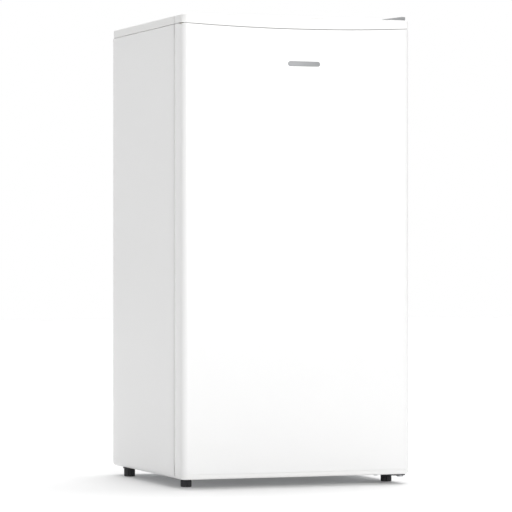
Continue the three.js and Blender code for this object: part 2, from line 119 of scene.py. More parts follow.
def surface(name, base, rough, metal=0.0, vary=0.03, rvary=0.06, tone_scale=6.0, fine=900.0, fine_d=0.00002,
            fine_s=0.3, big=None, coat=0.0, coat_rough=0.1, stretch=(1, 1, 1), specular=0.5, ior=1.5):
    """Paint, plastic or metal: slow colour drift, roughness patches and a fine surface texture."""
    m, nt, b = new_mat(name)
    v = coords(nt)
    slow = noise(nt, v, tone_scale, 4.0, 0.55)
    c0 = [max(0.0, c * (1 - vary)) for c in base]
    c1 = [min(1.0, c * (1 + vary * 0.4)) for c in base]
    nt.links.new(two_tone(nt, ramp(nt, slow, 0, 1, 0.15, 0.85), c0, c1), b.inputs["Base Color"])
    vs = coords(nt, stretch)
    patch = noise(nt, vs, tone_scale * 2.2, 2.0, 0.45)
    nt.links.new(ramp(nt, patch, max(0.02, rough - rvary), min(1.0, rough + rvary), 0.0, 1.0), b.inputs["Roughness"])
    last = None
    if big:
        last = bump(nt, b, noise(nt, v, big[0], 2.0, 0.5), big[1], big[2])
    bump(nt, b, noise(nt, vs, fine, 2.0, 0.5), fine_s, fine_d, last)
    b.inputs["Metallic"].default_value = metal
    b.inputs["IOR"].default_value = ior
    b.inputs["Specular IOR Level"].default_value = specular
    if coat:
        b.inputs["Coat Weight"].default_value = coat
        b.inputs["Coat Roughness"].default_value = coat_rough
    return m


MAT = {}
# pre-painted sheet: faint orange peel, a thin clear top layer
MAT["white_steel"] = surface("white_steel", (0.80, 0.80, 0.798), 0.30, vary=0.012, rvary=0.04, tone_scale=3.0,
                             fine=520.0, fine_d=0.00003, fine_s=0.12, coat=0.35, coat_rough=0.14)
MAT["white_plastic"] = surface("white_plastic", (0.80, 0.80, 0.793), 0.40, vary=0.012, rvary=0.05, tone_scale=5.0,
                               fine=1400.0, fine_d=0.00002, fine_s=0.25)
MAT["liner_plastic"] = surface("liner_plastic", (0.82, 0.825, 0.82), 0.34, vary=0.012, rvary=0.07, tone_scale=4.0,
                               fine=300.0, fine_d=0.00004, fine_s=0.15, big=(14.0, 0.08, 0.0004))
MAT["gasket"] = surface("gasket", (0.84, 0.84, 0.83), 0.55, vary=0.04, rvary=0.08, tone_scale=20.0,
                        fine=1800.0, fine_d=0.00002)
MAT["foam"] = surface("foam", (0.78, 0.70, 0.47), 0.85, vary=0.12, rvary=0.08, tone_scale=30.0,
                      fine=1200.0, fine_d=0.0003, fine_s=0.6)
MAT["hinge_steel"] = surface("hinge_steel", (0.055, 0.057, 0.062), 0.42, metal=0.35, vary=0.15, rvary=0.12,
                             tone_scale=40.0, fine=1500.0, fine_d=0.00003)
# grey_plastic is the real grey of the dial marks and pointer; on the top hinge cap the same grey is painted shade
MAT["grey_plastic"] = surface("grey_plastic", (0.30, 0.305, 0.31), 0.5, vary=0.05, rvary=0.06, tone_scale=30.0,
                              fine=2200.0, fine_d=0.00003, fine_s=0.4)
MAT["black_plastic"] = surface("black_plastic", (0.028, 0.028, 0.03), 0.48, vary=0.12, rvary=0.08, tone_scale=30.0,
                               fine=2200.0, fine_d=0.00003, fine_s=0.4)
MAT["foot_plastic"] = surface("foot_plastic", (0.035, 0.035, 0.038), 0.42, vary=0.12, rvary=0.08, tone_scale=60.0,
                              fine=2200.0, fine_d=0.00003, fine_s=0.4)
MAT["rubber"] = surface("rubber", (0.022, 0.022, 0.022), 0.8, vary=0.2, rvary=0.08, tone_scale=60.0,
                        fine=1600.0, fine_d=0.00004, fine_s=0.5)
MAT["black_paint"] = surface("black_paint", (0.016, 0.016, 0.018), 0.34, vary=0.15, rvary=0.10, tone_scale=18.0,
                             fine=420.0, fine_d=0.00006, fine_s=0.25, coat=0.3, coat_rough=0.2)
MAT["copper"] = surface("copper", (0.72, 0.36, 0.22), 0.26, metal=1.0, vary=0.28, rvary=0.12, tone_scale=22.0,
                        fine=700.0, fine_d=0.00002, stretch=(1, 1, 0.2))
MAT["aluminium"] = surface("aluminium", (0.66, 0.67, 0.68), 0.30, metal=1.0, vary=0.05, rvary=0.06, tone_scale=30.0,
                           fine=240.0, fine_d=0.00001, fine_s=0.5, stretch=(1, 30, 30))
MAT["diffuser"] = surface("diffuser", (0.86, 0.86, 0.84), 0.42, vary=0.03, rvary=0.05, tone_scale=30.0,
                          fine=900.0, fine_d=0.00003)


MAT["badge_grey"] = surface("badge_grey", (0.27, 0.275, 0.28), 0.48, metal=0.45, vary=0.06, rvary=0.05, tone_scale=30.0,
                            fine=240.0, fine_d=0.00001, fine_s=0.5, stretch=(1, 30, 30))


def galvanised():
    m, nt, b = new_mat("zinc_steel")
    v = coords(nt)
    vor = nt.nodes.new("ShaderNodeTexVoronoi")
    vor.inputs["Scale"].default_value = 130.0
    nt.links.new(v, vor.inputs["Vector"])
    sep = nt.nodes.new("ShaderNodeSeparateColor")
    nt.links.new(vor.outputs["Color"], sep.inputs["Color"])
    nt.links.new(two_tone(nt, sep.outputs["Red"], (0.50, 0.515, 0.53), (0.66, 0.675, 0.69)), b.inputs["Base Color"])
    nt.links.new(ramp(nt, sep.outputs["Green"], 0.34, 0.52, 0.0, 1.0), b.inputs["Roughness"])
    bump(nt, b, noise(nt, v, 260.0, 3.0), 0.2, 0.00005)
    b.inputs["Metallic"].default_value = 0.9
    return m


MAT["zinc_steel"] = galvanised()


def clear(name, tint, rough, ior, transmission, alpha):
    """Glass or clear plastic; alpha stands for the light that passes straight through."""
    m, nt, b = new_mat(name)
    v = coords(nt)
    slow = noise(nt, v, 8.0, 3.0)
    nt.links.new(two_tone(nt, ramp(nt, slow, 0, 1), [c * 0.985 for c in tint], tint), b.inputs["Base Color"])
    nt.links.new(ramp(nt, noise(nt, v, 60.0, 4.0), max(0.0, rough - 0.02), rough + 0.03), b.inputs["Roughness"])
    bump(nt, b, noise(nt, v, 160.0, 2.0), 0.06, 0.00004)
    b.inputs["IOR"].default_value = ior
    b.inputs["Transmission Weight"].default_value = transmission
    b.inputs["Alpha"].default_value = alpha
    return m


MAT["shelf_glass"] = clear("shelf_glass", (0.80, 0.94, 0.89), 0.04, 1.5, 0.55, 0.42)
MAT["clear_plastic"] = clear("clear_plastic", (0.94, 0.97, 0.985), 0.07, 1.45, 0.75, 0.40)


def edge_wear(name, base, worn, rough, rough_worn, metal):
    """Zinc-plated or painted small steel part, with the coat thin on its edges and scuffed."""
    m, nt, b = new_mat(name)
    v = coords(nt)
    geo = nt.nodes.new("ShaderNodeNewGeometry")
    point = ramp(nt, geo.outputs["Pointiness"], 0.0, 1.0, 0.52, 0.60)
    scuff = ramp(nt, noise(nt, v, 300.0, 6.0, 0.7), 0.0, 1.0, 0.45, 0.75)
    mul = nt.nodes.new("ShaderNodeMath")
    mul.operation = "MULTIPLY"
    nt.links.new(point, mul.inputs[0])
    nt.links.new(scuff, mul.inputs[1])
    nt.links.new(two_tone(nt, mul.outputs[0], base, worn), b.inputs["Base Color"])
    nt.links.new(ramp(nt, mul.outputs[0], rough, rough_worn, 0.0, 1.0), b.inputs["Roughness"])
    bump(nt, b, noise(nt, v, 900.0, 3.0), 0.25, 0.00003)
    b.inputs["Metallic"].default_value = metal
    return m


MAT["pin_steel"] = edge_wear("pin_steel", (0.52, 0.53, 0.55), (0.75, 0.75, 0.75), 0.32, 0.2, 1.0)
MAT["plate_black"] = edge_wear("plate_black", (0.040, 0.041, 0.045), (0.30, 0.30, 0.31), 0.42, 0.3, 0.4)

SLOT_OF = {s["node"]: s["material_slot"] for s in frame["record"]["subparts"]}
for name, obj in NODES.items():
    slot = SLOT_OF.get(name)
    mat = MAT.get(slot) or MAT["white_plastic"]
    if name in ("top_hinge_pin", "bottom_hinge_pin", "bottom_hinge_screw_front", "bottom_hinge_screw_rear"):
        mat = MAT["pin_steel"]
    if name in ("top_hinge_bracket", "bottom_hinge_bracket"):
        mat = MAT["plate_black"]
    for s in obj.material_slots:
        s.material = mat
    if not obj.material_slots:
        obj.data.materials.append(mat)


# ------------------------------------------------------------------ mesh helpers (all in mm)
def make(name, verts, faces, mat, body, replaces=(), slot=None, angle=34.0, recalc=True):
    me = bpy.data.meshes.new(name)
    me.from_pydata([(x * MM, y * MM, z * MM) for x, y, z in verts], [], faces)
    me.validate()
    if recalc:
        bm = bmesh.new()
        bm.from_mesh(me)
        bmesh.ops.remove_doubles(bm, verts=bm.verts, dist=1e-6)
        bmesh.ops.recalc_face_normals(bm, faces=bm.faces)
        bm.to_mesh(me)
        bm.free()
    me.shade_smooth()
    me.set_sharp_from_angle(angle=math.radians(angle))
    me.materials.append(MAT[mat] if isinstance(mat, str) else mat)
    o = bpy.data.objects.new(name, me)
    bpy.context.scene.collection.objects.link(o)
    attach(o, body)
    if replaces:
        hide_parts(*replaces)
    return o


def bevel(o, width, segments=2, angle=40.0, harden=True):
    m = o.modifiers.new("bevel", "BEVEL")
    m.width = width * MM
    m.segments = segments
    m.limit_method = "ANGLE"
    m.angle_limit = math.radians(angle)
    m.harden_normals = harden
    return o


def outline(x0, x1, y0, y1, radii, inset=0.0, n=6, subdiv=(1, 1, 1, 1)):
    """Closed rounded rectangle, counter-clockwise from the low corner, inset inward. Point count depends only on n and subdiv."""
    x0, x1, y0, y1 = x0 + inset, x1 - inset, y0 + inset, y1 - inset
    if not isinstance(radii, (list, tuple)):
        radii = [radii] * 4
    corners = [(x0, y0, 1, 1, 180), (x1, y0, -1, 1, 270), (x1, y1, -1, -1, 0), (x0, y1, 1, -1, 90)]
    pts = []
    arcs = []
    for (cx, cy, sx, sy, a0), r in zip(corners, radii):
        r = max(r - inset, 0.05)
        arcs.append([(cx + sx * r + r * math.cos(math.radians(a0 + 90 * k / n)),
                      cy + sy * r + r * math.sin(math.radians(a0 + 90 * k / n))) for k in range(n + 1)])
    for i in range(4):
        pts += arcs[i]
        a, b = arcs[i][-1], arcs[(i + 1) % 4][0]
        for k in range(1, subdiv[i]):
            t = k / subdiv[i]
            pts.append((a[0] + (b[0] - a[0]) * t, a[1] + (b[1] - a[1]) * t))
    return pts


def loft(rings, closed=False, caps=True):
    """Rings of 3-D points, all the same length."""
    verts, faces = [], []
    n = len(rings[0])
    for r in rings:
        verts += r
    count = len(rings)
    for i in range(count if closed else count - 1):
        a, b = i * n, ((i + 1) % count) * n
        for k in range(n):
            k2 = (k + 1) % n
            faces.append((a + k, a + k2, b + k2, b + k))
    if caps and not closed:
        faces.append(tuple(range(n - 1, -1, -1)))
        faces.append(tuple((count - 1) * n + k for k in range(n)))
    return verts, faces


def merge(*parts):
    verts, faces = [], []
    for v, f in parts:
        base = len(verts)
        verts += v
        faces += [tuple(i + base for i in q) for q in f]
    return verts, faces


def rbox(x0, x1, y0, y1, z0, z1, r=2.0, rz=None, n=4, m=3):
    """Box with rounded vertical corners (rz) and rounded top and bottom edges (r)."""
    rz = r if rz is None else rz
    rings = []
    for k in range(m + 1):
        a = math.pi / 2 * (1 - k / m)
        rings.append((r - r * math.cos(a), z0 + r - r * math.sin(a)))
    for k in range(m + 1):
        a = math.pi / 2 * k / m
        rings.append((r - r * math.cos(a), z1 - r + r * math.sin(a)))
    out = []
    for inset, z in rings:
        out.append([(x, y, z) for x, y in outline(x0, x1, y0, y1, max(rz, r + 0.05), inset, n)])
    return loft(out)


def lathe(profile, x, y, n=32, axis="Z", z=0.0, ribs=None):
    """Profile of (radius, height); ribs = (count, depth, from index, to index) gives knurling."""
    rings = []
    for i, (r, h) in enumerate(profile):
        ring = []
        for k in range(n):
            a = 2 * math.pi * k / n
            rr = max(r, 0.01)
            if ribs and ribs[2] <= i <= ribs[3]:
                rr -= ribs[1] * (0.5 - 0.5 * math.cos(a * ribs[0]))
            c, s = rr * math.cos(a), rr * math.sin(a)
            if axis == "Z":
                ring.append((x + c, y + s, z + h))
            elif axis == "X":
                ring.append((x + h, y + c, z + s))
            else:
                ring.append((x + c, y + h, z + s))
        rings.append(ring)
    return loft(rings)


def bent(points, r, seg=6):
    v = [Vector(p) for p in points]
    out = [v[0]]
    for i in range(1, len(v) - 1):
        a, b = v[i - 1] - v[i], v[i + 1] - v[i]
        la, lb = a.length, b.length
        a.normalize()
        b.normalize()
        half = a.angle(b) / 2
        t = min(r / math.tan(half), la * 0.499, lb * 0.499)
        rr = t * math.tan(half)
        c = (a + b).normalized() * (rr / math.sin(half)) + v[i]
        p0, p1 = v[i] + a * t - c, v[i] + b * t - c
        sweep = p0.angle(p1)
        ax = p0.cross(p1).normalized()
        for k in range(seg + 1):
            out.append(Matrix.Rotation(sweep * k / seg, 3, ax) @ p0 + c)
    out.append(v[-1])
    return out


def tube(points, r, sides=10, radii=None):
    pts = [Vector(p) for p in points]
    n = len(pts)
    tang = []
    for i in range(n):
        d = Vector((0, 0, 0))
        if i > 0:
            d += (pts[i] - pts[i - 1]).normalized()
        if i < n - 1:
            d += (pts[i + 1] - pts[i]).normalized()
        tang.append(d.normalized())
    up = Vector((0, 0, 1)) if abs(tang[0].z) < 0.9 else Vector((1, 0, 0))
    u = (up - tang[0] * up.dot(tang[0])).normalized()
    rings = []
    for i in range(n):
        u = (u - tang[i] * u.dot(tang[i])).normalized()
        w = tang[i].cross(u)
        rr = radii[i] if radii else r
        rings.append([tuple(pts[i] + u * (rr * math.cos(2 * math.pi * k / sides)) + w * (rr * math.sin(2 * math.pi * k / sides)))
                      for k in range(sides)])
    return loft(rings)


def boolean(o, cutters, op="DIFFERENCE"):
    """Applies exact booleans with meshes made of (verts, faces) in mm."""
    for vf in cutters:
        me = bpy.data.meshes.new("cutter")
        me.from_pydata([(x * MM, y * MM, z * MM) for x, y, z in vf[0]], [], vf[1])
        bm = bmesh.new()
        bm.from_mesh(me)
        bmesh.ops.recalc_face_normals(bm, faces=bm.faces)
        bm.to_mesh(me)
        bm.free()
        c = bpy.data.objects.new("cutter", me)
        bpy.context.scene.collection.objects.link(c)
        m = o.modifiers.new("cut", "BOOLEAN")
        m.operation = op
        m.solver = "EXACT"
        m.object = c
        bpy.context.view_layer.update()
        dg = bpy.context.evaluated_depsgraph_get()
        new = bpy.data.meshes.new_from_object(o.evaluated_get(dg))
        o.modifiers.clear()
        old = o.data
        o.data = new
        bpy.data.meshes.remove(old)
        bpy.data.objects.remove(c)
    o.data.shade_smooth()
    o.data.set_sharp_from_angle(angle=math.radians(34))
    return o


# ------------------------------------------------------------------ camera (photograph's viewing angle)
AZ, DIST, CAM_Z = math.radians(-20.1), 5.448, 0.4074
cam_data = bpy.data.cameras.new("camera")
cam = bpy.data.objects.new("camera", cam_data)
bpy.context.scene.collection.objects.link(cam)
cam.location = (math.sin(AZ) * DIST - 0.002, -math.cos(AZ) * DIST, CAM_Z)
cam.rotation_euler = (math.radians(90), 0, AZ)
cam_data.lens = 204.56
cam_data.sensor_width = 36
cam_data.shift_y = 5.25 / 512
cam_data.clip_end = 100
bpy.context.scene.camera = cam

# ------------------------------------------------------------------ door
# Steel skin: one folded sheet with rounded vertical edges and returned lips at the back.
profile = [(-208.0, -174.0), (-214.0, -174.0)]
for k in range(5):
    a = math.radians(90 + 90 * k / 4)
    profile.append((-219 + math.cos(a), -175 + math.sin(a)))
profile += [(-220, -184.0), (-220, -193.0)]
for k in range(13):
    a = math.radians(180 + 90 * k / 12)
    profile.append((-208 + 12 * math.cos(a), -202 + 12 * math.sin(a)))
front = [(-208 + 416 * k / 40, DOOR_FRONT) for k in range(1, 40)]
profile = profile + front + [(-x, y) for x, y in reversed(profile)]
levels = [(0.0, 1.0), (0.35, 0.35), (1.1, 0.0)]
low = [(0.0, 0.06), (0.2, 0.0), (0.5, 0.0)]
verts, faces = [], []
z_lo = 26.75
cols = []
for i, (x, y) in enumerate(profile):
    a, b = profile[max(i - 1, 0)], profile[min(i + 1, len(profile) - 1)]
    t = Vector((b[0] - a[0], b[1] - a[1])).normalized()
    cols.append((x, y, -t.y, t.x))
rows = 14
for i in range(-3, rows + 4):
    for x, y, nx, ny in cols:
        z_hi = arc_z(x) - 0.55 - (1.6 * max(0.0, 1 - abs(abs(x) - 219.5) / 3.0) if y < -195 else 0.0)
        if i < 0:
            dz, d = low[i + 3]
            z = z_lo + dz
        elif i > rows:
            dz, d = levels[rows + 3 - i]
            z = z_hi - dz
        else:
            d = 0.0
            z = z_lo + 1.6 + (z_hi - z_lo - 3.2) * i / rows
        verts.append((x + nx * d, y + ny * d, z))
w = len(profile)
for i in range(rows + 6):
    for k in range(w - 1):
        a = i * w + k
        faces.append((a, a + 1, a + w + 1, a + w))
skin = make("door_skin_sheet", verts, faces, "white_steel", "door", ["door_skin"], "white_steel", angle=50, recalc=False)
sol = skin.modifiers.new("sheet", "SOLIDIFY")
sol.thickness = 0.9 * MM
sol.offset = -1


def cap_rings(steps, sub=32):
    """steps: (inset, function of x giving z)"""
    rings = []
    for inset, f in steps:
        pts = outline(-HW, HW, DOOR_FRONT, -172.0, [DOOR_R, DOOR_R, 1.6, 1.6], inset, 8, (sub, 2, sub, 2))
        rings.append([(x, y, f(x)) for x, y in pts])
    return rings


steps = [(0.45, lambda x: arc_z(x)), (0.12, lambda x: arc_z(x) + 0.12), (0.0, lambda x: arc_z(x) + 0.45),
         (0.0, lambda x: TOP - 8), (0.0, lambda x: TOP - 3.2)]
for k in range(1, 7):
    a = math.radians(90 * k / 6)
    steps.append((3.2 - 3.2 * math.cos(a), lambda x, a=a: TOP - 3.2 + 3.2 * math.sin(a)))
v, f = loft(cap_rings(steps))
cap = make("door_top_cap_moulding", v, f, "white_plastic", "door", ["door_top_cap"], "white_plastic")
recess = []
for inset, z in [(5.0, 834.0), (2.4, 834.6), (0.8, 836.2), (0.2, 838.5), (0.0, 842.0), (0.0, 862.0)]:
    recess.append([(x, y, z) for x, y in outline(-80, 80, -201, -178, 7, inset, 6)])
boolean(cap, [loft(recess), lathe([(4.3, 836), (4.3, 862)], HINGE_X, HINGE_Y, 32)])
bevel(cap, 0.8, 3, 50)

steps = [(4.2, lambda x: GAP), (2.4, lambda x: GAP + 0.3), (1.2, lambda x: GAP + 1.0), (0.35, lambda x: GAP + 2.3),
         (0.0, lambda x: GAP + 4.0), (0.0, lambda x: 26.4), (0.06, lambda x: 26.6)]
v, f = loft(cap_rings(steps))
bcap = make("door_bottom_cap_moulding", v, f, "white_plastic", "door", ["door_bottom_cap"], "white_plastic")
boolean(bcap, [lathe([(4.3, 10), (4.3, 25)], HINGE_X, HINGE_Y, 32)])

# Inner liner of the door: flange, raised ring with soft edges, recessed panel.
def frame_ring(hx, z0, z1, r, y, n=8):
    return [(x, y, z) for x, z in outline(-hx, hx, z0, z1, r, 0.0, n)]


dr = [(216, -173.7, 1.2), (216, -172.2, 1.2), (215.5, -171.7, 1.0), (179, -171.7, 18), (175.2, -171.3, 16), (173.2, -170.0, 15),
      (172.3, -167.5, 14), (172, -164, 14), (171.2, -151.5, 14), (170.6, -149.2, 13.5), (169.2, -147.6, 12.5), (167, -147.0, 12),
      (156, -147.0, 10), (153.6, -147.5, 9), (152, -149.0, 8.5), (151.2, -151.5, 8), (150.6, -165.5, 8), (149.6, -169, 8),
      (147.4, -171.0, 8), (144, -171.69, 8)]
rings = []
for hx, y, r in dr:
    if hx > 200:
        d = 216 - hx
        ring = frame_ring(hx + 3.3, 26.9 + d, 826 - d, r, y)
        rings.append([(x, yy, z + (arc_z(x) - 0.4 - 826 if z > 700 else 0.0)) for x, yy, z in ring])
    else:
        d = 172 - hx
        rings.append(frame_ring(hx, 66 + d, 788 - d, r, y))
v, f = loft(rings)
make("door_liner_moulding", v, f, "liner_plastic", "door", ["door_liner"], "liner_plastic", angle=40)

# Magnetic gasket: soft bellows with a flat sealing head.
sec = [(0.6, -171.4), (13.5, -171.4), (14.0, -170.9), (13.4, -170.5), (10.6, -170.2), (9.9, -169.6), (10.8, -169.1),
       (14.6, -168.8), (15.4, -168.1), (15.5, -167.2), (14.8, -166.5), (13.4, -166.3), (1.6, -166.3), (0.6, -166.5),
       (0.05, -167.1), (0.05, -168.2), (0.5, -168.7), (1.1, -169.0), (1.3, -169.4), (1.1, -169.8), (0.4, -170.1), (0.1, -170.7)]
rings = []
for inset, y in sec:
    rings.append([(x, y, z) for x, z in outline(-219.3, 206, 30, 820, 3.0 + inset * 0.02 + 13, inset, 4)])
v, f = loft(rings, closed=True)
make("door_gasket_profile", v, f, "gasket", "door", ["door_gasket"], "gasket", angle=60)


def bin_mesh(x0, x1, y0, y1, z0, z1, radii, wall=2.2, rim=1.5, draft=0.0):
    st = [(5.0, z0), (2.0, z0 + 0.5), (0.6, z0 + 2.0), (0.0, z0 + 5.0), (0.0, z1 - 9), (0.0, z1 - 1.2), (0.4, z1 - 0.3), (1.0, z1),
          (wall + rim - 1.0, z1), (wall + rim - 0.3, z1 - 0.4), (wall + rim, z1 - 1.2), (wall + rim, z1 - 5.0), (wall + 0.3, z1 - 6.6), (wall, z1 - 8.0),
          (wall, z0 + 6.5), (wall + 0.8, z0 + 3.9), (wall + 2.2, z0 + 2.6), (wall + 5.0, z0 + 2.2)]
    return loft([[(x, y, z) for x, y in outline(x0, x1, y0, y1, radii, i, 7)] for i, z in st])


for name, z0, z1, depth in (("door_shelf_bottom", 98, 180, 75), ("door_shelf_middle", 372, 434, 60), ("door_shelf_top", 610, 664, 60)):
    v, f = bin_mesh(-149.6, 149.6, -171.4, -171.4 + depth, z0, z1, [1.2, 1.2, 14, 14])
    make(name + "_bin", v, f, "clear_plastic", "door", [name], "clear_plastic", angle=50)
    # white front band clipped on the bin
    y = -171.4 + depth
    band = []
    for off, z in ((0.0, z1 - 18.0), (0.7, z1 - 17.0), (0.9, z1 - 14), (0.9, z1 - 5), (0.7, z1 - 2.4), (0.0, z1 - 1.4)):
        ring = []
        line = []
        for k in range(9):
            a = math.radians(0 + 90 * k / 8)
            line.append((135.6 + 14 * math.cos(a), y - 14 + 14 * math.sin(a), math.cos(a), math.sin(a)))
        line = [(149.6, y - 30, 1, 0)] + line
        full = line + [(-x, yy, -nx, ny) for x, yy, nx, ny in reversed(line)]
        ring = [(x + nx * off, yy + ny * off, z) for x, yy, nx, ny in full]
        band.append(ring)
    # only where it has room: the band stands proud at the bin's inner face
    vv, ff = [], []
    n = len(band[0])
    for ring in band:
        vv += [(max(-149.7, min(149.7, x)), yy, z) for x, yy, z in ring]
    for i in range(len(band) - 1):
        for k in range(n - 1):
            a = i * n + k
            ff.append((a, a + 1, a + n + 1, a + n))
    o = make(name + "_band", vv, ff, "white_plastic", "door", (), "white_plastic", angle=60)
    s = o.modifiers.new("wall", "SOLIDIFY")
    s.thickness = 0.5 * MM
    s.offset = 0
# lugs on the door liner that carry the bins
lugs = []
for z0 in (104, 378, 616):
    for s in (-1, 1):
        lugs.append(rbox(min(s * 143.5, s * 150.2), max(s * 143.5, s * 150.2), -171.9, -157.0, z0 - 12.5, z0 - 6.9, 1.2))
v, f = merge(*lugs)
make("door_shelf_lugs", v, f, "liner_plastic", "door", (), "liner_plastic")

# Plain badge: brushed, wordless.
rings = []
for inset, y in ((0.0, -214.25), (0.0, -214.75), (0.15, -214.92), (0.5, -215.0)):
    rings.append([(x, y, z) for x, z in outline(-19, 43, 759, 768, 4.49, inset, 10)])
v, f = loft(rings)
make("badge_blank", v, f, "badge_grey", "door", ["badge_plate"], "aluminium")

# ------------------------------------------------------------------ cabinet casing
def side_panel(s, name):
    prof = [(190.0, -166.0), (204.0, -166.0), (212.0, -166.0)]
    for k in range(6):
        a = math.radians(270 + 90 * k / 5)
        prof.append((217.6 + 2.4 * math.cos(a), -163.6 + 2.4 * math.sin(a)))
    for k in range(1, 12):
        prof.append((220.0, -163.6 + (198 + 163.6) * k / 12))
    for k in range(5):
        a = math.radians(0 + 90 * k / 4)
        prof.append((218.0 + 2 * math.cos(a), 198.0 + 2 * math.sin(a)))
    prof += [(213, 200.0), (208.0, 200.0)]
    zs = [(18.0, 5.0), (18.4, 3.7), (19.3, 2.5), (20.7, 1.45), (22.4, 0.7), (24.6, 0.2), (28.0, 0.0)] + \
         [(28.0 + (831.6 - 28.0) * k / 14, 0.0) for k in range(1, 15)] + [(832.1, 0.2), (832.35, 0.6), (832.4, 1.0)]
    verts, faces = [], []
    w = len(prof)
    for z, h in zs:
        for x, y in prof:
            verts.append((s * (x - h * max(0.0, min(1.0, (x - 208) / 12))), y, z))
    for i in range(len(zs) - 1):
        for k in range(w - 1):
            a = i * w + k
            q = (a, a + 1, a + w + 1, a + w)
            faces.append(q if s > 0 else q[::-1])
    o = make(name + "_sheet", verts, faces, "white_steel", "cabinet", [name], "white_steel", angle=50, recalc=False)
    m = o.modifiers.new("sheet", "SOLIDIFY")
    m.thickness = 1.0 * MM
    m.offset = -1
    return o


side_panel(-1, "side_panel_left")
side_panel(1, "side_panel_right")

steps = []
for k in range(4):
    a = math.radians(90 * (1 - k / 3))
    steps.append((1.2 - 1.2 * math.cos(a), WORKTOP_Z + 1.2 - 1.2 * math.sin(a)))
for k in range(7):
    a = math.radians(90 * k / 6)
    steps.append((3.0 - 3.0 * math.cos(a), TOP - 3.0 + 3.0 * math.sin(a)))
v, f = loft([[(x, y, z) for x, y in outline(-HW, HW, -166.5, CAB_REAR, [4, 4, 6, 6], i, 6)] for i, z in steps])
make("worktop_lid", v, f, "white_plastic", "cabinet", ["worktop"], "white_plastic")

# Base plate with pressed stiffening beads, and front cross rail.
parts = [rbox(-214.2, 214.2, -164.7, 57.5, 18.0, 19.2, 0.5, 2.0),
         ]
for y in (-100, -60, -20, 20):
    parts.append(rbox(-150, 120, y - 5, y + 5, 17.2, 18.6, 0.6, 5))
v, f = merge(*parts)
make("base_plate_pressing", v, f, "zinc_steel", "cabinet", ["base_plate"], "zinc_steel")
rail = loft([[(x, y, z) for y, z in ((-160.0, 18.2), (-164.6, 18.2), (-165.6, 18.6), (-166.0, 19.6), (-166.0, 48.8), (-165.7, 49.7), (-165.0, 50.0), (-160.0, 50.0),
              (-160.0, 49.0), (-164.4, 49.0), (-164.9, 48.5), (-164.9, 19.8), (-164.4, 19.3), (-160.0, 19.3))] for x in (-189.9, 189.9)])
make("front_rail", *rail, "white_steel", "cabinet", (), "white_steel")

# Foam core, drawn in a little behind the rolled lower edge of the side sheets.
src = NODES["insulation_foam"]
me = src.data.copy()
me.materials.clear()
me.materials.append(MAT["foam"])
core = bpy.data.objects.new("foam_core", me)
bpy.context.scene.collection.objects.link(core)
core.matrix_world = src.matrix_world.copy()
mw, im = core.matrix_world.copy(), core.matrix_world.inverted()
for q in me.vertices:
    p = mw @ q.co
    if p.z < 0.022 and abs(p.x) > 0.212:
        p.x = math.copysign(0.2125, p.x)
        q.co = im @ p
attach(core, "cabinet")
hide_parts("insulation_foam")

# Back panel with pressed beads and edge screws.
parts = [rbox(-218.4, 218.4, 186.4, 187.4, 222.4, 829.2, 0.4, 1.0)]
for x in (-70, 70):
    parts.append(rbox(x - 7, x + 7, 187.0, 188.9, 262, 800, 1.1, 5))
v, f = merge(*parts)
make("back_panel_pressing", v, f, "zinc_steel", "cabinet", ["back_panel"], "zinc_steel")
sc = []
for x in (-198, 198):
    for z in (300, 540, 780):
        sc.append(lathe([(0, 187.5), (3.6, 187.5), (3.6, 188.4), (2.6, 189.3), (0, 189.6)], x, 0, 16, "Y", z))
v, f = merge(*sc)
make("back_panel_screws", v, f, "pin_steel", "cabinet", (), "zinc_steel")

# Inner liner: one vacuum-formed shell with soft corners, rolled front edge and rim.
bm = bmesh.new()
yz = [(-166.0, IN_Z0), (STEP_Y, IN_Z0), (STEP_Y, STEP_Z), (IN_BACK, STEP_Z), (IN_BACK, IN_Z1), (-166.0, IN_Z1)]
L = [bm.verts.new((-INX * MM, y * MM, z * MM)) for y, z in yz]
R = [bm.verts.new((INX * MM, y * MM, z * MM)) for y, z in yz]
bm.faces.new(L)
bm.faces.new(list(reversed(R)))
for i in range(5):
    bm.faces.new((L[i], R[i], R[i + 1], L[i + 1]))
bm.edges.ensure_lookup_table()
open_edges = [e for e in bm.edges if len(e.link_faces) == 1]
soft = [e for e in bm.edges if len(e.link_faces) == 2]
bmesh.ops.bevel(bm, geom=soft, offset=12 * MM, offset_type="OFFSET", segments=5, profile=0.5, affect="EDGES", clamp_overlap=True)
bmesh.ops.recalc_face_normals(bm, faces=bm.faces)
# front border -> rolled edge and rim
border = [e for e in bm.edges if len(e.link_faces) == 1]
zc = (IN_Z0 + IN_Z1) / 2 * MM
for v_ in {v for e in border for v in e.verts}:
    v_.co.y = -163.5 * MM
prev = border
for dx, y in ((0.35, -164.9), (1.2, -165.75), (2.4, -166.0), (4.6, -166.0)):
    ret = bmesh.ops.extrude_edge_only(bm, edges=prev)
    new_v = [g for g in ret["geom"] if isinstance(g, bmesh.types.BMVert)]
    prev = [g for g in ret["geom"] if isinstance(g, bmesh.types.BMEdge)]
    base = {0.35: 0.0, 1.2: 0.35, 2.4: 1.2, 4.6: 2.4}[dx]
    for v_ in new_v:
        kx = (INX + dx) / (INX + base)
        kz = ((IN_Z1 - IN_Z0) / 2 + dx) / ((IN_Z1 - IN_Z0) / 2 + base)
        v_.co.x *= kx
        v_.co.z = zc + (v_.co.z - zc) * kz
        v_.co.y = y * MM
bmesh.ops.recalc_face_normals(bm, faces=bm.faces)
